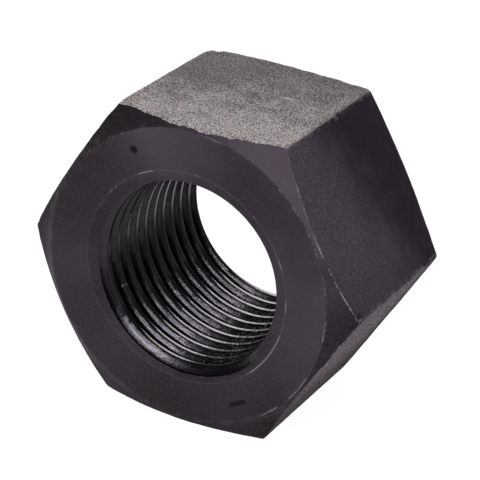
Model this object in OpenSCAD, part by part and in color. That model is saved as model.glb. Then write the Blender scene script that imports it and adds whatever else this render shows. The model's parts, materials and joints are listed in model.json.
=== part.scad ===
// High hex nut with a metric fine thread: one solid piece of blackened steel.
// It stands on one of its six flats. The origin is the centre of that flat, +Z is up,
// the thread runs along Y, and the marked face looks towards -Y.

/* [Hexagon] */
// Width across flats
across_flats = 36; // [35.4:0.1:36]
// Height of the nut along its thread
nut_height = 22.8; // [22.6:0.1:23.9]
// Radius of the rounded edges between two flats
corner_radius = 0.5; // [0.3:0.1:0.9]

/* [Chamfers] */
// Diameter of the flat ring on the marked face
front_ring_diameter = 35; // [33.4:0.1:35.2]
// Chamfer angle at the marked face
front_chamfer_angle = 30; // [15:1:30]
// Diameter of the flat ring on the plain face
rear_ring_diameter = 34.8; // [33.4:0.1:35.2]
// Chamfer angle at the plain face
rear_chamfer_angle = 15; // [15:1:30]

/* [Thread] */
// Nominal diameter of the thread
thread_diameter = 24; // [23.5:0.1:24.2]
// Pitch of the thread
thread_pitch = 2; // [1.5:0.5:3]
// Amount by which the tapped hole is wider than its basic minor diameter
minor_allowance = 0.165; // [0.1:0.005:0.375]
// Diameter of the countersink at each end of the thread
countersink_diameter = 25.3; // [24.4:0.1:25.9]
// Full angle of the countersinks
countersink_angle = 120; // [90:5:120]

/* [Marks] */
// Distance of the two punched marks from the thread's axis
mark_distance = 15.4; // [14.6:0.1:15.8]
// Depth of the punched marks
mark_depth = 0.2; // [0.1:0.05:0.3]
// Diameter of the round mark
dot_diameter = 1.1; // [0.8:0.1:1.6]
// Length of the bar mark
bar_length = 2.2; // [1.6:0.1:2.6]
// Width of the bar mark
bar_width = 0.5; // [0.4:0.1:0.8]

/* [Hidden] */

overcut = 1;                      // how far a cutter runs past the face it opens
axis_height = across_flats / 2;   // height of the thread's axis above the resting flat
half_height = nut_height / 2;

major_r = thread_diameter / 2;
minor_r = (thread_diameter - 1.0825 * thread_pitch + minor_allowance) / 2;
countersink_r = countersink_diameter / 2;
countersink_slope = tan(90 - countersink_angle / 2);   // depth for each mm of radius

flank_angle = 30;                 // each flank's angle, for a 60 degree thread
root_width = thread_pitch / 8;    // flat at the bottom of the groove
groove_lap = 0.1;                 // how far the groove's cutter reaches into the bore
half_turns = ceil(nut_height / thread_pitch) + 1;   // half turns to each side of the middle
thread_start = 184;               // direction in which the half turns meet, off the bore's own seam
thread_shift = 0.17;              // how far the thread is moved along its axis, towards the plain face

dot_angle = 118;                  // places of the marks round the face, from +X towards +Z
bar_angle = 300;

// Half of the groove's width at a given radius
function groove_half_width(r) = root_width / 2 + (major_r - r) * tan(flank_angle);

// The groove's four corners in one section, as [radius, place along the thread]
function groove_section() =
    let (r = minor_r - groove_lap, inner = groove_half_width(r), outer = root_width / 2)
    [[r, -inner], [major_r, -outer], [major_r, outer], [r, inner]];

// Turns the thread's axis from Z to Y, with the low end at the marked face
module along_thread() {
    translate([0, 0, axis_height]) rotate([-90, 0, 0]) children();
}

// A solid of revolution between the two faces, cut to a cone at each end
module chamfer_envelope() {
    reach = across_flats;
    front_r = front_ring_diameter / 2;
    rear_r = rear_ring_diameter / 2;
    rotate_extrude($fn = 180)
        polygon([
            [0, -half_height],
            [front_r, -half_height],
            [reach, -half_height + (reach - front_r) * tan(front_chamfer_angle)],
            [reach, half_height - (reach - rear_r) * tan(rear_chamfer_angle)],
            [rear_r, half_height],
            [0, half_height]
        ]);
}

// The hexagonal bar, with a flat at the top and at the bottom and rounded edges
module hex_bar() {
    // both the length of each flat and the distance of the rounded edges' centres
    side = (across_flats - 2 * corner_radius) / sqrt(3);
    for (turn = [0:60:120])
        rotate([0, 0, turn])
            cube([side, across_flats, 2 * across_flats], center = true);
    for (turn = [0:60:300])
        rotate([0, 0, turn])
            translate([side, 0, 0])
                cylinder(r = corner_radius, h = 2 * across_flats, center = true, $fn = 48);
}

// The bore at the thread's minor diameter, opened by a countersink at each end
module bore() {
    sink = (countersink_r - minor_r) * countersink_slope;
    top = half_height + overcut;
    wide = countersink_r + overcut / countersink_slope;
    rotate_extrude($fn = 180)
        polygon([
            [0, -top],
            [wide, -top],
            [minor_r, -half_height + sink],
            [minor_r, half_height - sink],
            [wide, top],
            [0, top]
        ]);
}

// One half turn of the groove, tilted so that it climbs half a pitch from end to end
module groove_half_turn() {
    tilt = asin(thread_pitch / 4 / minor_r);
    rotate([0, tilt, 0])
        rotate_extrude(angle = 180, $fn = 120)
            polygon(groove_section());
}

// The groove of a right-hand thread: half turns joined end to end, out past both faces
module thread_groove() {
    for (i = [-half_turns:half_turns])
        translate([0, 0, i * thread_pitch / 2 + thread_shift])
            rotate([0, 0, thread_start + 180 * i])
                groove_half_turn();
}

// The two shallow marks punched in the marked face
module punched_marks() {
    depth = -half_height + mark_depth;
    rotate([0, 0, -dot_angle])
        translate([mark_distance, 0, depth])
            mirror([0, 0, 1])
                cylinder(d1 = dot_diameter / 2, d2 = dot_diameter * 3, h = overcut, $fn = 48);
    rotate([0, 0, -bar_angle])
        translate([mark_distance, 0, depth - overcut / 2])
            cube([bar_width, bar_length, overcut], center = true);
}

module hex_nut() {
    color("#3a373b")
        along_thread()
            difference() {
                intersection() {
                    hex_bar();
                    chamfer_envelope();
                }
                bore();
                thread_groove();
                punched_marks();
            }
}

hex_nut();
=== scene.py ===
import json
import math

import bpy
import numpy as np
from mathutils import Matrix, Quaternion, Vector, noise


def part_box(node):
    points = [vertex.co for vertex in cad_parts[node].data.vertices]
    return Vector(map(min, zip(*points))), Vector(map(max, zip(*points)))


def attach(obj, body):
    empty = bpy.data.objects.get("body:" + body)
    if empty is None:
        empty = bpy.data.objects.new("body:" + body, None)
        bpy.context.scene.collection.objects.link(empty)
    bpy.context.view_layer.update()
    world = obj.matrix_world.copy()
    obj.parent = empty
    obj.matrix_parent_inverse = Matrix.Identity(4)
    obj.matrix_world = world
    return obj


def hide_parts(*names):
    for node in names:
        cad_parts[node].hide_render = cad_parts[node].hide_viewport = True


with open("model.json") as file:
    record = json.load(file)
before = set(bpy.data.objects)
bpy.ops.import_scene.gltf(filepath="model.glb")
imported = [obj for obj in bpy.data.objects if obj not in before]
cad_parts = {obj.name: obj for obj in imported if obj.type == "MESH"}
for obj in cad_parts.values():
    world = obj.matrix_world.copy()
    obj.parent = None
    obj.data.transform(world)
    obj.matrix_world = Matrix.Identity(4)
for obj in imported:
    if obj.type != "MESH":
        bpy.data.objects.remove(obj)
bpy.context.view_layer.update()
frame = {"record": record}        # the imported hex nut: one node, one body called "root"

# ---------------------------------------------------------------- dimensions, in mm
MM = 0.001
CORNERS = 6
LOW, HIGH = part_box("hex_nut")
MOUNTS = {m["name"]: m for m in frame["record"]["mounts"]}

AXIS_HEIGHT = MOUNTS["thread"]["pos_m"][2] / MM
HALF_HEIGHT = (HIGH.y - LOW.y) / 2 / MM
HALF_FLATS = (HIGH.z - LOW.z) / 2 / MM
MINOR_R = MOUNTS["thread"]["dims"]["r_mm"]
MAJOR_R = 12.0
PITCH = 2.0
CREST_AT = -0.35          # a crest's place along Y, straight to the right of the thread's axis
FLANK = math.tan(math.radians(30))        # slope of the thread's flanks, 60 degrees between them
ROOT_HALF = PITCH / 16    # half the width of the groove's flat root
SINK_R = 12.65            # countersink, at either face
SINK_SLOPE = math.tan(math.radians(30))
CORNER_R = 0.5            # rounding of the six long edges
FRONT_RING_R, FRONT_SLOPE = 17.5, math.tan(math.radians(30))
REAR_RING_R, REAR_SLOPE = 17.4, math.tan(math.radians(15))

MARK_R = 15.4             # two plain punched marks on the front ring
MARK_DEPTH = 0.2
DOT_ANGLE, DOT_R, DOT_FULL_R = 118.0, 0.62, 0.25
BAR_ANGLE, BAR_HALF_LENGTH, BAR_HALF_WIDTH = 300.0, 1.1, 0.28
BAR_FULL, BAR_END = 0.6, 1.15       # shares of the bar's half sizes between which its depth fades

# ---------------------------------------------------------------- mesh density, in steps and mm
ARC_STEPS = 6             # columns round each long edge
FLAT_STEPS = 62           # columns across each flat
WALL_ROWS = 40            # rows along each flat, between those close to a chamfer
WALL_ROWS_FROM = 0.045    # share of the way along the wall where those rows start
CHAMFER_SHARES = (0.04, 0.12, 0.3, 0.5, 0.7, 0.88, 0.96)
RING_INNER_STEPS = (0.0, 0.07, 0.25, 0.7, 1.1)       # rows of a bearing ring, out from the countersink
RING_OUTER_STEPS = (0.75, 0.25, 0.08, 0.0)           # and in from the chamfer
MARK_REACH, MARK_STEP = 1.2, 0.16                    # rows over the punched marks
REFINEMENTS = 2           # rounds that fit a wall row's place along Y to its radius and dents

# ---------------------------------------------------------------- unevenness, in mm
FALL, LACUNARITY, OCTAVES = 1.0, 2.0, 3              # of the noise
SEED_STEPS = (17.3, 5.1, 9.7)                        # how far apart two seeds lie in it
WAVE_DEPTH, WAVE_SIZE, WAVE_SEED = 0.025, 5.0, 1     # slow waves of the forged flats
BUMP_DEPTH, BUMP_SIZE, BUMP_SEED = 0.018, 1.1, 2     # and the finer bumps on them
LONG_EDGE_LOSS, LONG_EDGE_SIZE, LONG_EDGE_SEED = 0.08, 0.9, 3
CHIP_LOSS, CHIP_SIZE, CHIP_SEED = 0.16, 0.7, 4       # small chips where a flat meets a chamfer
FLAKE_LOSS, FLAKE_SIZE, FLAKE_SEED = 0.36, 2.4, 5    # and long flakes between them
EVEN_LOSS = 0.03                                     # lost there all along
BITTEN = 0.12                                        # a higher number loses more of each edge
REAR_SHARE = 0.35                                    # how much of that loss the rear edge has
SIDE_SHARE = 0.15                                    # the other flats' losses, next to the top one's
ARC_END_SHARE = 0.3                                  # loss at an arc's ends, next to its middle's
WALL_INSET = 0.03                                    # keeps the bumps inside the true flats
RIM_WEAR = 0.03                                      # rounding of the bearing rings' two rims
# Rows close to a chamfer: share of the way along the wall, and how much of the edge's loss it has
EDGE_ROWS = {0.0: 1.0, 0.006: 0.72, 0.014: 0.42, 0.026: 0.14}


def smoothstep(low, high, value):
    t = np.clip((value - low) / (high - low), 0, 1)
    return t * t * (3 - 2 * t)


def noise_field(points, size, seed):
    """Smooth noise from about -1 to 1 at each point in mm, with features of that size in mm."""
    offset = Vector([seed * step for step in SEED_STEPS])
    return np.array([
        noise.fractal(
            Vector(p) / size + offset, FALL, LACUNARITY, OCTAVES, noise_basis="PERLIN_ORIGINAL")
        for p in points
    ])


def hexagon_columns():
    """The outline seen along the thread: points and outward normals, from the right-hand corner on."""
    points, normals = [], []
    arc_half = math.pi / CORNERS
    centre_r = (HALF_FLATS - CORNER_R) / math.cos(arc_half)
    for corner in range(CORNERS):
        turn = corner * math.tau / CORNERS
        centre = centre_r * np.array([math.cos(turn), math.sin(turn)])
        arc = turn + np.linspace(-arc_half, arc_half, ARC_STEPS + 1)
        rounded = [centre + CORNER_R * np.array([math.cos(a), math.sin(a)]) for a in arc]
        flat_normal = np.array([math.cos(arc[-1]), math.sin(arc[-1])])
        along = np.array([-flat_normal[1], flat_normal[0]])
        length = 2 * centre_r * math.sin(arc_half)
        points += rounded
        normals += [np.array([math.cos(a), math.sin(a)]) for a in arc]
        for step in range(1, FLAT_STEPS):
            points.append(rounded[-1] + along * length * step / FLAT_STEPS)
            normals.append(flat_normal)
    return np.array(points), np.array(normals)


OUTLINE, NORMALS = hexagon_columns()
COLUMNS = len(OUTLINE)
ANGLES = np.unwrap(np.arctan2(OUTLINE[:, 1], OUTLINE[:, 0]))
ANGLES -= math.tau * (ANGLES[0] > math.pi)
DIRECTIONS = np.stack([np.cos(ANGLES), np.sin(ANGLES)], axis=1)


def ring(radius, y):
    """One row of points, at a radius and a place along Y for each column."""
    radius, y = np.broadcast_to(radius, COLUMNS), np.broadcast_to(y, COLUMNS)
    return np.stack([DIRECTIONS[:, 0] * radius, y, DIRECTIONS[:, 1] * radius], axis=1)


DENT_CENTRE = 0.985       # distance of the dents' centres from the axis, as a share of a corner's
DENT_FULL = 0.25          # share of a dent's reach that has its full depth
# Small dents on the long edges and chamfer corners: angle, place along Y, reach and depth
DENTS = (
    (60.0, 1.8, 0.9, 0.28),
    (58.5, 0.6, 0.5, 0.10),
    (2.0, -9.0, 0.8, 0.22),
    (-3.0, -10.2, 0.5, 0.15),
    (-52.0, -10.6, 0.8, 0.20),
    (121.0, -3.0, 0.6, 0.10),
    (120.0, -9.9, 1.7, 0.14),
    (119.5, 10.9, 1.8, 0.20),
    (180.0, -9.6, 1.7, 0.12),
    (180.0, 4.0, 0.7, 0.12),
    (240.0, -5.0, 0.8, 0.15),
    (299.0, 3.0, 0.7, 0.15),
)


def dent_depth(points):
    """How far each point of the outer wall is knocked in."""
    depth = np.zeros(len(points))
    corner_r = HALF_FLATS / math.cos(math.pi / CORNERS)
    for angle, y, reach, deep in DENTS:
        turn = math.radians(angle)
        centre = np.array([
            corner_r * math.cos(turn) * DENT_CENTRE, y, corner_r * math.sin(turn) * DENT_CENTRE])
        distance = np.linalg.norm(points - centre, axis=1)
        depth += deep * (1 - smoothstep(DENT_FULL * reach, reach, distance))
    return depth


def edge_columns():
    """How much each column lies on a rounded long edge: 1 at the middle of its arc, 0 on the flats."""
    step = np.arange(COLUMNS) % (ARC_STEPS + FLAT_STEPS)
    on_arc = ARC_END_SHARE + (1 - ARC_END_SHARE) * np.sin(math.pi * step / ARC_STEPS)
    return np.where(step <= ARC_STEPS, on_arc, 0.0)


def bites(base, size, seed):
    """Small irregular losses, in mm, where an edge's scale has flaked off."""
    return np.maximum(noise_field(base, size, seed) + BITTEN, 0)


def outer_wall():
    """Rows of the six flats from the front chamfer to the rear one, with the forging's unevenness."""
    long_edges = edge_columns()
    on_top = smoothstep(0.55, 0.95, NORMALS[:, 1])
    flaked = SIDE_SHARE + (1 - SIDE_SHARE) * on_top
    outwards = np.stack([NORMALS[:, 0], np.zeros(COLUMNS), NORMALS[:, 1]], axis=1)
    edge_rows = list(EDGE_ROWS)
    middle = list(np.linspace(WALL_ROWS_FROM, 1 - WALL_ROWS_FROM, WALL_ROWS))
    shares = edge_rows + middle + [1 - share for share in reversed(edge_rows)]
    rows = []
    for share in shares:
        y = (2 * share - 1) * HALF_HEIGHT
        base = np.stack([OUTLINE[:, 0], np.full(COLUMNS, y), OUTLINE[:, 1]], axis=1)
        shift = WAVE_DEPTH * noise_field(base, WAVE_SIZE, WAVE_SEED)
        shift += BUMP_DEPTH * noise_field(base, BUMP_SIZE, BUMP_SEED)
        shift -= LONG_EDGE_LOSS * long_edges * flaked * bites(base, LONG_EDGE_SIZE, LONG_EDGE_SEED)
        chips = CHIP_LOSS * bites(base, CHIP_SIZE, CHIP_SEED)
        flakes = FLAKE_LOSS * bites(base, FLAKE_SIZE, FLAKE_SEED)
        lost = EDGE_ROWS.get(min(share, round(1 - share, 6)), 0.0) * (1.0 if share < 0.5 else REAR_SHARE)
        shift -= lost * flaked * (EVEN_LOSS + chips + flakes)
        for _ in range(REFINEMENTS):
            placed = base + outwards * (shift - WALL_INSET - dent_depth(base))[:, None]
            radius = np.hypot(placed[:, 0], placed[:, 2])
            front = -HALF_HEIGHT + np.maximum(radius - FRONT_RING_R, 0) * FRONT_SLOPE
            rear = HALF_HEIGHT - np.maximum(radius - REAR_RING_R, 0) * REAR_SLOPE
            base[:, 1] = front + (rear - front) * share
        placed[:, 1] = base[:, 1]
        rows.append(placed)
    return rows


def chamfer_rows(edge, ring_r, slope, end, side):
    """Rows on a chamfer's cone, from its flat ring out to the wall's edge, both ends left out."""
    radius = np.hypot(edge[:, 0], edge[:, 2])
    rows = []
    for share in CHAMFER_SHARES:
        r = ring_r + (radius - ring_r) * share
        rows.append(ring(r, end + side * np.maximum(r - ring_r, 0) * slope))
    return rows


def mark_depth(points):
    """Depth of the two punched marks at points of the front ring."""
    across = []
    for angle in (DOT_ANGLE, BAR_ANGLE):
        turn = math.radians(angle)
        radial = points[:, 0] * math.cos(turn) + points[:, 2] * math.sin(turn) - MARK_R
        along = -points[:, 0] * math.sin(turn) + points[:, 2] * math.cos(turn)
        across.append((radial, along))
    (dot_radial, dot_along), (bar_radial, bar_along) = across
    dot = 1 - smoothstep(DOT_FULL_R, DOT_R, np.hypot(dot_radial, dot_along))
    bar_distance = np.maximum(np.abs(bar_radial) / BAR_HALF_WIDTH, np.abs(bar_along) / BAR_HALF_LENGTH)
    bar = 1 - smoothstep(BAR_FULL, BAR_END, bar_distance)
    return MARK_DEPTH * np.maximum(dot, bar)


def face_rows(ring_r, end, side):
    """Rows of a flat bearing ring, from the countersink out, both ends included."""
    marked = side > 0
    marks = np.arange(MARK_R - MARK_REACH, MARK_R + MARK_REACH + 0.01, MARK_STEP) if marked else [MARK_R]
    inner = [SINK_R + step for step in RING_INNER_STEPS]
    outer = [ring_r - step for step in RING_OUTER_STEPS]
    rows = []
    for r in (*inner, *marks, *outer):
        row = ring(r, end)
        if marked:
            row[:, 1] += mark_depth(row)
        if r in (SINK_R, ring_r):
            row[:, 1] += side * RIM_WEAR
        rows.append(row)
    return rows


CREST_HALF = PITCH / 2 - ROOT_HALF - (MAJOR_R - MINOR_R) * FLANK
MID_FLANK = 0.5           # depth of the row between a flank's crest and its root
# One pitch of the thread, from one crest's centre to the next: place along the pitch, radius.
# The crests and roots are rounded a little.
THREAD_PROFILE = (
    (-CREST_HALF + 0.07, MINOR_R),
    (CREST_HALF - 0.07, MINOR_R),
    (CREST_HALF - 0.015, MINOR_R + 0.02),
    (CREST_HALF + 0.03, MINOR_R + 0.075),
    (CREST_HALF + MID_FLANK * FLANK, MINOR_R + MID_FLANK),
    (PITCH / 2 - ROOT_HALF - 0.07, MAJOR_R - 0.09),
    (PITCH / 2 - ROOT_HALF + 0.03, MAJOR_R),
    (PITCH / 2 + ROOT_HALF - 0.03, MAJOR_R),
    (PITCH / 2 + ROOT_HALF + 0.07, MAJOR_R - 0.09),
    (PITCH - CREST_HALF - MID_FLANK * FLANK, MINOR_R + MID_FLANK),
    (PITCH - CREST_HALF - 0.03, MINOR_R + 0.075),
    (PITCH - CREST_HALF + 0.015, MINOR_R + 0.02),
)
ROWS_PER_PITCH = len(THREAD_PROFILE)
FACE_GAP = 0.03           # rows of the bore nearer than this to a face end at that face


def bore_rows():
    """Rows that follow the thread's helix. Returns points and flags for those past each face."""
    # whole turns, enough of them for every column to pass both faces
    first = math.floor((-HALF_HEIGHT - CREST_AT) / PITCH) - 1
    last = math.ceil((HALF_HEIGHT - CREST_AT) / PITCH) + 2
    starts, radii = [], []
    for turn in range(first, last):
        for along, radius in THREAD_PROFILE:
            starts.append(CREST_AT + turn * PITCH + along)
            radii.append(radius)
    y = np.array(starts)[:, None] - PITCH * ANGLES[None, :] / math.tau
    r = np.repeat(np.array(radii)[:, None], COLUMNS, axis=1)
    r, y = snap_to_countersinks(r, y)
    r = np.maximum(r, sink_radius(y))
    x, z = r * DIRECTIONS[:, 0], r * DIRECTIONS[:, 1]
    return np.stack([x, y, z], axis=2), y < -HALF_HEIGHT + FACE_GAP, y > HALF_HEIGHT - FACE_GAP


def sink_radius(y):
    """Radius of the nearer countersink's cone."""
    depth = np.minimum(y + HALF_HEIGHT, HALF_HEIGHT - y)
    return SINK_R - depth / SINK_SLOPE


def snap_to_countersinks(r, y):
    """Moves points next to the edge where the thread meets a countersink onto that edge."""
    over = r - sink_radius(y)
    for row in range(len(r) - 1):
        a, b = over[row], over[row + 1]
        crosses = a * b < 0
        share = np.where(crosses, a / np.where(crosses, a - b, 1), 0)
        y_edge = y[row] + share * (y[row + 1] - y[row])
        r_edge = r[row] + share * (r[row + 1] - r[row])
        for target, use in ((row, crosses & (share < 0.5)), (row + 1, crosses & (share >= 0.5))):
            y[target] = np.where(use, y_edge, y[target])
            r[target] = np.where(use, r_edge, r[target])
            over[target] = np.where(use, 0, over[target])
    return r, y


TURNED, FORGED, THREADED = range(3)     # the mesh's material slots
SHARP_ANGLE = 50          # edges sharper than this, in degrees, are shaded as creases
NEAR_SURFACE = 0.01       # points within this distance, in mm, count as lying on a surface


def sharpen_rows(mesh, rows):
    """Makes a crease of each given row of the outside, where a flat meets a chamfer."""
    ends = np.empty(len(mesh.edges) * 2, dtype=int)
    mesh.edges.foreach_get("vertices", ends)
    row_of = ends.reshape(-1, 2) // COLUMNS
    crease = mesh.attributes["sharp_edge"].data
    for edge in np.nonzero((row_of[:, 0] == row_of[:, 1]) & np.isin(row_of[:, 0], rows))[0]:
        crease[edge].value = True


def build_nut():
    """The whole nut as one closed mesh. Returns the object, with its regions as material slots."""
    front_face = face_rows(FRONT_RING_R, -HALF_HEIGHT, 1)
    rear_face = face_rows(REAR_RING_R, HALF_HEIGHT, -1)[::-1]
    wall = outer_wall()
    front_cone = chamfer_rows(wall[0], FRONT_RING_R, FRONT_SLOPE, -HALF_HEIGHT, 1)
    rear_cone = chamfer_rows(wall[-1], REAR_RING_R, REAR_SLOPE, HALF_HEIGHT, -1)[::-1]
    outside = front_face + front_cone + wall + rear_cone + rear_face
    wall_from = len(front_face) + len(front_cone)
    wall_to = wall_from + len(wall) - 1

    points = np.concatenate(outside)
    columns = np.arange(COLUMNS)
    following = (columns + 1) % COLUMNS
    faces, regions = [], []
    for row in range(len(outside) - 1):
        region = FORGED if wall_from <= row < wall_to else TURNED
        low, high = row * COLUMNS, (row + 1) * COLUMNS
        for a, b in zip(columns, following):
            faces.append((low + a, low + b, high + b, high + a))
            regions.append(region)

    bore, past_front, past_rear = bore_rows()
    front_ids = columns
    rear_ids = (len(outside) - 1) * COLUMNS + columns
    ids = len(points) + np.arange(bore.shape[0] * COLUMNS).reshape(bore.shape[:2])
    ids = np.where(past_front, front_ids, np.where(past_rear, rear_ids, ids))
    # past the last column a row goes on as the row one pitch nearer the front
    shifted = np.vstack([np.full((ROWS_PER_PITCH, 1), front_ids[0]), ids[:-ROWS_PER_PITCH, :1]])
    wrapped = np.hstack([ids, shifted])
    radii = np.hypot(bore[:, :, 0], bore[:, :, 2])
    coned = radii < sink_radius(bore[:, :, 1]) + NEAR_SURFACE
    on_cone = coned[:-1] & coned[1:] & (radii[:-1] > MINOR_R + NEAR_SURFACE)
    for row in range(bore.shape[0] - 1):
        for a in columns:
            loop = (wrapped[row, a], wrapped[row + 1, a], wrapped[row + 1, a + 1], wrapped[row, a + 1])
            corners = list(dict.fromkeys(loop))
            if len(corners) >= 3:
                faces.append(tuple(int(c) for c in corners))
                regions.append(TURNED if on_cone[row, a] else THREADED)
    points = np.concatenate([points, bore.reshape(-1, 3)])

    used = np.unique(np.concatenate([np.array(f) for f in faces]))
    renumber = np.full(len(points), -1)
    renumber[used] = np.arange(len(used))
    points = points[used] * MM
    points[:, 2] += AXIS_HEIGHT * MM
    mesh = bpy.data.meshes.new("blackened_hex_nut")
    mesh.from_pydata(points.tolist(), [], [[int(renumber[c]) for c in f] for f in faces])
    mesh.polygons.foreach_set("material_index", regions)
    mesh.polygons.foreach_set("use_smooth", [True] * len(faces))
    mesh.validate()
    mesh.update()
    mesh.set_sharp_from_angle(angle=math.radians(SHARP_ANGLE))
    sharpen_rows(mesh, (wall_from, wall_to))
    nut = bpy.data.objects.new("blackened_hex_nut", mesh)
    bpy.context.scene.collection.objects.link(nut)
    return nut


# ---------------------------------------------------------------- materials
# Colours are linear red, green and blue. Places, sizes and reaches are in mm.
TURNED_DARK = (0.001, 0.0007, 0.0012)
TURNED_LIGHT = (0.076, 0.061, 0.078)
TURNED_GRAIN = (0.05, 0.043, 0.051)
RUBBED_RIM = (0.06, 0.053, 0.059)
SINK_SCRATCH = (0.07, 0.062, 0.07)
BARE_STEEL = (0.40, 0.38, 0.39)
MARK_PAINTED_SHADE = (0.0012, 0.001, 0.0012)

# One scale on every flat: the top flat's greys are painted sheen, the other flats are a darker shaded
# copy, and the lower flats' light flecks are painted bounce light from the floor.
TOP_DARK = (0.008, 0.006, 0.008)
TOP_SHEEN_GREY, TOP_WARM_SHEEN_GREY = (0.76, 0.715, 0.715), (0.81, 0.715, 0.715)
SIDE_DARK, SIDE_LIGHT = (0.010, 0.002, 0.012), (0.160, 0.122, 0.169)
LOWER_DARK, LOWER_PAINTED_BOUNCE = (0.022, 0.018, 0.021), (0.295, 0.247, 0.281)
LEFT_DARK = (0.016, 0.015, 0.016)
LONG_EDGE_GREY = (0.26, 0.235, 0.25)
SCRATCH_GREY = (0.85, 0.82, 0.82)

GROOVE_BLACK = (0.002, 0.0017, 0.0023)
CREST_BLACK = (0.014, 0.013, 0.015)
MOUTH_PAINTED_REFLECTION = (0.024, 0.018, 0.025)
GLINT_GREY = (0.5, 0.48, 0.5)

STEEL_IOR = 1.5
ACROSS = (1.0, 0.0, 1.0)                 # weights that leave the place along Y out
FLAT_TURNS = (30, 90, 150)               # directions of the three pairs of flats, in degrees
LONG_EDGE_FROM, LONG_EDGE_FULL = 20.40, 20.66        # radii between which a long edge's wear grows
SCRATCH_PLACE, SCRATCH_WEIGHTS = (4.2, 2.4, 2 * HALF_FLATS), (0.4, 1.5, 1.0)
GLINT_PLACE = (-10.1, -7.5, 12.5)        # a painted glint: a light grey speck on a crest
GLINT_SPOTS = ((-7.5, 28.5), (11.0, 11.0))            # painted glints on the countersink's rim, where the worn lines are brightest: place along X and Z
# The insides of the punched marks: angle, half the length and half the width
MARK_SHAPES = ((DOT_ANGLE, 0.0, 0.5), (BAR_ANGLE, BAR_HALF_LENGTH - 0.2, 0.24))
# Painted reflections and painted shade on the turned black, lighter or darker: place along X and Z, reach
# and change
FACE_PAINTED_LIGHT = (
    (-15.0, 27.0, 13.0, -0.6),
    (-4.0, 34.0, 9.0, 0.6),
    (7.0, 31.0, 6.0, -0.3),
    (16.0, 19.0, 10.0, 0.4),
    (13.0, 3.0, 8.0, -0.8),
    (0.0, 0.0, 13.0, -0.9),
    (-14.0, 8.0, 10.0, -0.35),
)
# Painted reflections and painted shade on the chamfers: from none to full along X, from none to full
# along Z, and change
CHAMFER_PAINTED_LIGHT = (
    ((0.0, -6.0), (19.0, 24.0), -1.5),
    ((1.0, 7.0), (23.0, 28.0), 1.35),
    ((9.0, 15.0), (23.0, 16.0), -0.85),
)


class Graph:
    """A short way to write one material's nodes. Lengths are in mm on the object."""

    def __init__(self, name):
        self.material = bpy.data.materials.new(name)
        self.material.use_nodes = True
        self.tree = self.material.node_tree
        self.shader = self.tree.nodes["Principled BSDF"]
        where = self.add("ShaderNodeTexCoord").outputs["Object"]
        self.place = self.vector("MULTIPLY", where, (1 / MM, 1 / MM, 1 / MM))
        self.places = None

    def add(self, kind, **settings):
        node = self.tree.nodes.new(kind)
        for key, value in settings.items():
            setattr(node, key, value)
        return node

    def feed(self, socket, value):
        if isinstance(value, bpy.types.NodeSocket):
            self.tree.links.new(value, socket)
        else:
            socket.default_value = value

    def axis(self, letter):
        """The place along X, Y or Z, in mm."""
        if self.places is None:
            self.places = self.add("ShaderNodeSeparateXYZ")
            self.feed(self.places.inputs[0], self.place)
        return self.places.outputs[letter]

    def vector(self, operation, *values):
        node = self.add("ShaderNodeVectorMath", operation=operation)
        for socket, value in zip(node.inputs, values):
            self.feed(socket, value)
        return node.outputs["Value" if operation in ("LENGTH", "DOT_PRODUCT") else "Vector"]

    def maths(self, operation, a, b=0.0):
        node = self.add("ShaderNodeMath", operation=operation)
        self.feed(node.inputs[0], a)
        self.feed(node.inputs[1], b)
        return node.outputs[0]

    def plus(self, a, b):
        return self.maths("ADD", a, b)

    def minus(self, a, b):
        return self.maths("SUBTRACT", a, b)

    def times(self, a, b):
        return self.maths("MULTIPLY", a, b)

    def larger(self, a, b):
        return self.maths("MAXIMUM", a, b)

    def size(self, a):
        """A number without its sign."""
        return self.maths("ABSOLUTE", a)

    def band(self, value, low, high, start=0.0, end=1.0):
        """Goes smoothly from start to end as the value goes from low to high."""
        node = self.add("ShaderNodeMapRange", interpolation_type="SMOOTHSTEP")
        self.feed(node.inputs["Value"], value)
        for key, number in (("From Min", low), ("From Max", high), ("To Min", start), ("To Max", end)):
            self.feed(node.inputs[key], number)
        return node.outputs["Result"]

    def noise(self, size, detail, roughness=0.5, place=None):
        """Noise from 0 to 1, with features of that size."""
        node = self.add("ShaderNodeTexNoise")
        self.feed(node.inputs["Vector"], self.place if place is None else place)
        for key, number in (("Scale", 1 / size), ("Detail", detail), ("Roughness", roughness)):
            self.feed(node.inputs[key], number)
        return node.outputs["Fac"]

    def stretched(self, weights):
        """The place with each axis given its own weight, for noise that is longer one way."""
        return self.vector("MULTIPLY", self.place, weights)

    def mix(self, share, a, b):
        node = self.add("ShaderNodeMix", data_type="RGBA")
        self.feed(node.inputs["Factor"], share)
        for key, colour in (("A", a), ("B", b)):
            linked = isinstance(colour, bpy.types.NodeSocket)
            self.feed(node.inputs[key], colour if linked else (*colour, 1.0))
        return node.outputs["Result"]

    def distance(self, centre, weights):
        """Distance from a point, with each axis given its own weight."""
        away = self.vector("SUBTRACT", self.place, centre)
        return self.vector("LENGTH", self.vector("MULTIPLY", away, weights))

    def radius(self):
        """Distance from the thread's axis."""
        return self.distance((0.0, 0.0, AXIS_HEIGHT), ACROSS)

    def bump(self, height, distance, normal=None):
        node = self.add("ShaderNodeBump")
        self.feed(node.inputs["Height"], height)
        self.feed(node.inputs["Distance"], distance * MM)
        if normal is not None:
            self.feed(node.inputs["Normal"], normal)
        return node.outputs["Normal"]

    def finish(self, **sockets):
        for key, value in sockets.items():
            self.feed(self.shader.inputs[key.replace("_", " ")], value)
        return self.material


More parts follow.
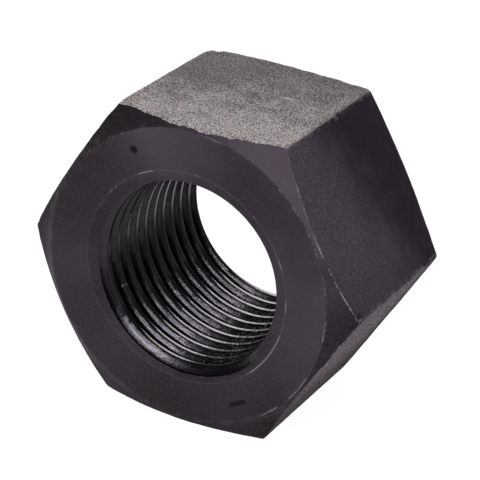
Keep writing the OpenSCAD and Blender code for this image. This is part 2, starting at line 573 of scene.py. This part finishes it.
def worn_edges_and_glints(g, radius):
    """Where the black is rubbed off along the turned surfaces' edges, with painted glints at two spots on
    the countersink's rim, from 0 to 1.
    """
    centred = g.vector("SUBTRACT", g.place, (0.0, 0.0, AXIS_HEIGHT))
    reach = 0.0
    for turn in FLAT_TURNS:
        normal = (math.cos(math.radians(turn)), 0.0, math.sin(math.radians(turn)))
        reach = g.larger(reach, g.size(g.vector("DOT_PRODUCT", centred, normal)))
    from_flats = g.minus(HALF_FLATS, reach)
    from_ring = g.size(g.minus(radius, FRONT_RING_R))
    from_sink = g.size(g.minus(radius, SINK_R))

    # the wear comes in stretches, more of them at the right, and the lines are brighter round the two
    # painted glints
    stretches = g.noise(3.2, 3.0, 0.65, g.vector("ADD", g.place, (11.0, 3.0, 5.0)))
    specks = g.noise(0.45, 4.0, 0.8)
    right = g.times(g.band(g.axis("X"), 0.0, 15.0, -0.08, 0.16), g.band(g.axis("Z"), 33.0, 28.0))
    thick = g.plus(g.plus(stretches, right), g.times(specks, 0.8))
    # painted glints: the lines are brightened round these two places on the countersink's rim
    for x, z in GLINT_SPOTS:
        thick = g.plus(thick, g.band(g.distance((x, 0.0, z), ACROSS), 5.0, 1.0, 0.0, 0.2))
    spared = g.band(thick, 0.86, 1.14, 0.26, 0.0)

    upper = g.band(g.axis("Z"), 12.0, 17.0, 0.1, 0.7)
    worn = 0.0
    for away, width, strength, sparing in (
            (from_flats, 0.25, upper, 0.75), (from_ring, 0.12, 0.27, 0.75), (from_sink, 0.14, 0.30, 1.0)):
        line = g.band(g.plus(away, g.times(spared, sparing)), width, 0.02)
        worn = g.larger(worn, g.times(line, strength))
    faint_rim = g.band(from_sink, 0.14, 0.02, 0.0, 0.03)
    return g.larger(worn, faint_rim)


def punched(g):
    """The insides of the two punched marks, from 0 to 1."""
    inside = 0.0
    for angle, half_length, half_width in MARK_SHAPES:
        turn = math.radians(angle)
        centre = (MARK_R * math.cos(turn), 0.0, AXIS_HEIGHT + MARK_R * math.sin(turn))
        away = g.vector("MULTIPLY", g.vector("SUBTRACT", g.place, centre), ACROSS)
        along = g.size(g.vector("DOT_PRODUCT", away, (-math.sin(turn), 0.0, math.cos(turn))))
        across = g.size(g.vector("DOT_PRODUCT", away, (math.cos(turn), 0.0, math.sin(turn))))
        past_end = g.larger(g.minus(along, half_length), 0.0)
        squares = g.plus(g.maths("POWER", past_end, 2.0), g.maths("POWER", across, 2.0))
        distance = g.maths("SQRT", squares)
        inside = g.larger(inside, g.band(distance, half_width + 0.15, half_width * 0.5))
    return g.times(inside, g.band(g.axis("Y"), -HALF_HEIGHT + 0.8, -HALF_HEIGHT + 0.4))


def turned_black():
    """The faces, chamfers and countersinks: smooth violet-black with faint turning lines, and painted
    reflections and painted shade on the face and chamfers.
    """
    g = Graph("turned_black_oxide")
    radius = g.radius()
    on_chamfer = g.band(radius, FRONT_RING_R, FRONT_RING_R + 0.15)
    lines_at = g.add("ShaderNodeCombineXYZ")
    g.feed(lines_at.inputs["X"], radius)
    g.feed(lines_at.inputs["Y"], g.times(g.axis("Y"), 2.0))
    fine_lines = g.noise(0.16, 3.0, 0.6, lines_at.outputs["Vector"])
    clouds = g.noise(5.0, 4.0, 0.55)
    grain = g.noise(0.30, 5.0, 0.75)

    # random tone from the clouds, plus painted reflections and painted shade on the face and chamfers
    tone_and_painted_light = g.band(clouds, 0.3, 0.7, -0.17, 0.08)
    for x, z, reach, change in FACE_PAINTED_LIGHT:
        spot = g.band(g.distance((x, 0.0, z), ACROSS), reach, 0.0, 0.0, change)
        tone_and_painted_light = g.plus(tone_and_painted_light, spot)
    for along_x, along_z, change in CHAMFER_PAINTED_LIGHT:
        here = g.times(g.band(g.axis("X"), *along_x), g.band(g.axis("Z"), *along_z))
        tone_and_painted_light = g.plus(tone_and_painted_light, g.times(on_chamfer, g.times(here, change)))
    tone = g.mix(g.band(tone_and_painted_light, -1.0, 2.0), TURNED_DARK, TURNED_LIGHT)
    tone = g.mix(g.times(g.band(grain, 0.46, 0.68), 0.4), tone, TURNED_GRAIN)

    near_ring_edge = g.band(g.size(g.minus(radius, FRONT_RING_R + 0.2)), 1.0, 0.1)
    in_patches = g.band(g.noise(1.4, 4.0, 0.65), 0.45, 0.7, 0.0, 0.3)
    tone = g.mix(g.times(near_ring_edge, in_patches), tone, RUBBED_RIM)
    in_sink = g.band(radius, SINK_R + 0.02, SINK_R - 0.05)
    scratched = g.times(in_sink, g.band(fine_lines, 0.47, 0.68, 0.0, 0.6))
    scratched = g.times(scratched, g.band(g.noise(1.8, 4.0, 0.7), 0.42, 0.62))
    tone = g.mix(scratched, tone, SINK_SCRATCH)
    tone = g.mix(worn_edges_and_glints(g, radius), tone, BARE_STEEL)
    marks = punched(g)
    # painted shade: the insides of the punched marks are made near black
    tone = g.mix(marks, tone, MARK_PAINTED_SHADE)

    cloudy_gloss = g.band(clouds, 0.25, 0.75, 0.37, 0.47)
    rough = g.plus(cloudy_gloss, g.band(fine_lines, 0.3, 0.7, -0.04, 0.04))
    rough = g.plus(rough, g.times(marks, 0.3))
    tips = g.larger(g.band(g.axis("X"), -16.5, -20.5), g.band(g.axis("Z"), 7.0, 1.0))
    rough = g.plus(rough, g.times(g.times(tips, on_chamfer), 0.45))
    normal = g.bump(fine_lines, 0.012)
    normal = g.bump(grain, 0.08, normal)
    return g.finish(
        Base_Color=tone, Roughness=rough, Normal=normal, Metallic=0.0, IOR=STEEL_IOR,
        Specular_IOR_Level=0.20, Specular_Tint=(1.0, 0.80, 1.0, 1.0))


def top_tone(g, grain, patches):
    """The top flat: dark grains and light grey grains of painted sheen from the light above, lighter
    towards the marked face and the right.
    """
    warm = g.noise(3.0, 2.0, 0.5, g.vector("ADD", g.place, (40.0, 0.0, 9.0)))
    depth = g.plus(g.axis("Y"), g.band(patches, 0.3, 0.7, 4.5, -4.5))
    depth = g.minus(depth, g.times(g.axis("X"), 0.32))
    salt = g.plus(grain, g.band(depth, 10.0, -12.0, -0.03, 0.03))
    share = g.times(g.band(salt, 0.45, 0.57), g.band(depth, 9.0, -11.0, 0.52, 1.0))
    # the light greys are painted sheen
    sheen_grey = g.mix(g.band(warm, 0.42, 0.6), TOP_SHEEN_GREY, TOP_WARM_SHEEN_GREY)
    return g.mix(share, TOP_DARK, sheen_grey)


def side_tone(g, patches, downward):
    """The other flats, a darker shaded copy of the same scale: fine leathery grain above, lighter flecks
    of painted bounce light from the floor on those that face down.
    """
    ripple = g.noise(0.19, 3.0, 0.8, g.stretched((1.0, 0.75, 0.85)))
    left = g.band(g.axis("X"), 0.0, -8.0)
    depth = g.plus(g.axis("Y"), g.band(patches, 0.3, 0.7, 1.0, -1.0))
    depth = g.plus(depth, g.times(g.minus(g.axis("Z"), AXIS_HEIGHT), 0.5))
    light = g.times(g.band(depth, 11.5, -1.0), g.band(g.axis("Z"), 12.0, 26.0, 0.4, 1.0))
    light = g.larger(light, g.times(left, 0.6))
    leather = g.plus(g.band(ripple, 0.36, 0.62, 0.38, 1.0), g.band(ripple, 0.64, 0.74, 0.0, 0.8))
    tone = g.mix(g.times(light, leather), SIDE_DARK, SIDE_LIGHT)

    flecks = g.band(g.noise(0.27, 3.0, 0.8, g.stretched((1.0, 0.6, 1.0))), 0.42, 0.57)
    flecks = g.times(flecks, g.band(g.axis("Y"), 11.5, 5.0, 0.2, 1.0))
    flecks = g.times(flecks, g.band(g.axis("Z"), 2.0, 12.0, 0.2, 1.0))
    # painted bounce light from the floor on the flats that face down
    tone = g.mix(downward, tone, g.mix(flecks, LOWER_DARK, LOWER_PAINTED_BOUNCE))
    return g.mix(g.times(left, 0.6), tone, LEFT_DARK)


def forged_black():
    """The six flats: grainy scale, coarsest on top, with the top flat painted lightest as sheen from the
    light above.
    """
    g = Graph("forged_black_scale")
    grain = g.noise(0.15, 4.0, 0.85, g.stretched((1.0, 0.5, 1.0)))
    pits = g.noise(0.7, 3.0, 0.6)
    patches = g.noise(4.5, 5.0, 0.65)
    facing = g.add("ShaderNodeSeparateXYZ")
    g.feed(facing.inputs[0], g.add("ShaderNodeTexCoord").outputs["Normal"])
    on_top = g.band(facing.outputs["Z"], 0.60, 0.85)
    downward = g.band(facing.outputs["Z"], -0.1, -0.4)
    # the top flat gets the painted sheen, the other flats the darker shaded copy of the same scale
    tone = g.mix(on_top, side_tone(g, patches, downward), top_tone(g, grain, patches))

    edge_wear = g.band(g.noise(1.2, 4.0, 0.7), 0.42, 0.62, 0.0, 0.55)
    edge_wear = g.times(g.band(g.radius(), LONG_EDGE_FROM, LONG_EDGE_FULL), edge_wear)
    tone = g.mix(edge_wear, tone, LONG_EDGE_GREY)
    scratch = g.band(g.distance(SCRATCH_PLACE, SCRATCH_WEIGHTS), 0.5, 0.1)
    tone = g.mix(g.times(scratch, 0.6), tone, SCRATCH_GREY)

    normal = g.bump(pits, 0.10)
    normal = g.bump(grain, 0.18, normal)
    rough = g.plus(g.band(patches, 0.3, 0.7, 0.68, 0.58), g.times(downward, 0.34))
    rough = g.minus(rough, g.times(on_top, 0.1))
    return g.finish(
        Base_Color=tone, Roughness=rough, Normal=normal, Metallic=0.0, IOR=STEEL_IOR,
        Specular_IOR_Level=0.16, Specular_Tint=(1.0, 0.82, 0.94, 1.0))


def threaded_black():
    """The thread: black, oilier low in the bore, with brighter crests that are dull halfway up, a painted
    reflection at the mouth and a painted glint on one crest.
    """
    g = Graph("oiled_black_thread")
    radius = g.radius()
    streaks_at = g.add("ShaderNodeCombineXYZ")
    g.feed(streaks_at.inputs["X"], radius)
    g.feed(streaks_at.inputs["Y"], g.axis("Y"))
    streaks = g.noise(0.11, 3.0, 0.6, streaks_at.outputs["Vector"])
    patches = g.noise(1.6, 4.0, 0.6)

    on_crest = g.band(radius, MINOR_R + 0.08, MINOR_R + 0.02)
    tone = g.mix(on_crest, GROOVE_BLACK, CREST_BLACK)
    # painted reflection of the floor: lighter near the front face, from just under the axis upwards
    mouth_reflection = g.times(g.band(g.axis("Y"), -9.3, -10.6), g.band(g.axis("Z"), 12.0, 17.0))
    tone = g.mix(mouth_reflection, tone, MOUTH_PAINTED_REFLECTION)
    # a painted glint on one crest
    speck = g.band(g.distance(GLINT_PLACE, (1.0, 1.0, 1.0)), 0.56, 0.46)
    tone = g.mix(speck, tone, GLINT_GREY)

    rough = g.plus(g.band(patches, 0.3, 0.7, 0.20, 0.32), g.band(streaks, 0.3, 0.7, -0.05, 0.08))
    oily = g.band(g.plus(g.axis("Z"), g.band(patches, 0.3, 0.7, 2.0, -2.0)), 16.0, 9.5)
    rough = g.minus(rough, g.times(oily, 0.05))
    near_crest = g.band(radius, MINOR_R + 0.2, MINOR_R + 0.05)
    dull = g.times(g.band(g.axis("Z"), 20.0, 15.0), g.band(g.axis("Z"), 9.5, 13.0))
    rough = g.minus(rough, g.times(near_crest, g.band(dull, 0.0, 1.0, 0.10, -0.45)))

    # beaded crests at the lower right, behind the first turn
    chatter = g.times(g.band(g.axis("X"), 0.0, 4.0), g.band(g.axis("Z"), 11.0, 8.0))
    chatter = g.times(chatter, g.band(g.axis("Y"), -9.4, -8.9))
    chatter = g.times(chatter, g.noise(0.25, 1.0))
    normal = g.bump(streaks, 0.015)
    normal = g.bump(patches, 0.05, normal)
    normal = g.bump(chatter, 0.12, normal)
    return g.finish(
        Base_Color=tone, Roughness=rough, Normal=normal, Metallic=0.0, IOR=STEEL_IOR,
        Specular_IOR_Level=0.4, Specular_Tint=(0.95, 0.88, 1.0, 1.0))


# ---------------------------------------------------------------- studio, in metres
FLOOR_SIZE, FLOOR_GREY, FLOOR_GLOW = 6.0, 0.08, 0.98
FLAG_WIDTH, FLAG_HEIGHT, FLAG_BLACK = 0.09, 0.018, 0.002
FLAG_DIRECTION, FLAG_DISTANCE = (0.45, -0.89, 0.0), 0.085
WORLD_STRENGTH = 0.05

VIEW_AZIMUTH, VIEW_ELEVATION, VIEW_ROLL = 27.19, 25.98, 4.04       # degrees
VIEW_DISTANCE = 0.2524
VIEW_LENS, SENSOR_WIDTH = 165.5, 36.0                              # mm
NEAREST, FARTHEST = 0.01, 20.0
AIM = (0.0005, 0.0004, 0.0182)


def build_floor():
    """A pale floor that glows, so that it stays even and white to its edges."""
    bpy.ops.mesh.primitive_plane_add(size=FLOOR_SIZE, location=(0, 0, 0))
    floor = bpy.context.object
    floor.name = "studio_floor"
    g = Graph("pale_floor")
    floor.data.materials.append(g.finish(
        Base_Color=(FLOOR_GREY, FLOOR_GREY, FLOOR_GREY, 1.0), Roughness=1.0, Specular_IOR_Level=0.0,
        Emission_Color=(1.0, 1.0, 1.0, 1.0), Emission_Strength=FLOOR_GLOW))


def build_flag():
    """A low black card in front, out of view, that darkens what the sides of the bore reflect."""
    bpy.ops.mesh.primitive_plane_add(size=1.0)
    flag = bpy.context.object
    flag.name = "black_flag"
    flag.scale = (FLAG_WIDTH, FLAG_HEIGHT, 1.0)
    towards = Vector(FLAG_DIRECTION).normalized()
    flag.location = towards * FLAG_DISTANCE + Vector((0, 0, FLAG_HEIGHT / 2))
    flag.rotation_euler = towards.to_track_quat("Z", "Y").to_euler()
    g = Graph("black_card")
    flag.data.materials.append(g.finish(
        Base_Color=(FLAG_BLACK, FLAG_BLACK, FLAG_BLACK, 1.0), Roughness=1.0, Specular_IOR_Level=0.0))
    flag.visible_camera = False
    flag.visible_shadow = False


def build_world():
    world = bpy.data.worlds.new("studio")
    bpy.context.scene.world = world
    world.use_nodes = True
    background = world.node_tree.nodes["Background"]
    background.inputs["Color"].default_value = (1, 1, 1, 1)
    background.inputs["Strength"].default_value = WORLD_STRENGTH


def softbox(name, direction, distance, width, height, radiance, lean=0.0, colour=(1.0, 1.0, 1.0)):
    """A rectangular area light of an even radiance, aimed at the nut and turned by its lean."""
    lamp = bpy.data.lights.new(name, "AREA")
    lamp.shape = "RECTANGLE"
    lamp.size, lamp.size_y = width, height
    lamp.energy = math.pi * width * height * radiance
    lamp.color = colour
    box = bpy.data.objects.new(name, lamp)
    towards = Vector(direction).normalized()
    box.location = towards * distance + Vector((0, 0, AXIS_HEIGHT * MM))
    leaning = Quaternion((0, 0, 1), math.radians(lean))
    box.rotation_euler = (towards.to_track_quat("Z", "Y") @ leaning).to_euler()
    bpy.context.scene.collection.objects.link(box)


def build_camera():
    data = bpy.data.cameras.new("camera")
    data.lens, data.sensor_width = VIEW_LENS, SENSOR_WIDTH
    data.clip_start, data.clip_end = NEAREST, FARTHEST
    camera = bpy.data.objects.new("camera", data)
    turn, rise = math.radians(VIEW_AZIMUTH), math.radians(VIEW_ELEVATION)
    back = Vector((math.sin(turn) * math.cos(rise), -math.cos(turn) * math.cos(rise), math.sin(rise)))
    place = Matrix.Translation(Vector(AIM) + back * VIEW_DISTANCE)
    level = back.to_track_quat("Z", "Y").to_matrix().to_4x4()
    camera.matrix_world = place @ level @ Matrix.Rotation(math.radians(VIEW_ROLL), 4, "Z")
    bpy.context.scene.collection.objects.link(camera)
    bpy.context.scene.camera = camera


build_camera()
nut = build_nut()
for material in (turned_black(), forged_black(), threaded_black()):     # in the order of the slots
    nut.data.materials.append(material)
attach(nut, "root")
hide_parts("hex_nut")

build_floor()
build_flag()
build_world()
softbox(
    "rear", direction=(-0.36, 0.80, 0.48), distance=0.8, width=0.8, height=0.45, radiance=5.8,
    colour=(1.0, 0.955, 0.96))
softbox(
    "front_strip", direction=(-0.07, -0.93, 0.366), distance=0.7, width=0.365, height=0.10,
    radiance=32.0, lean=-24.0)
bpy.context.scene.view_settings.view_transform = "Standard"
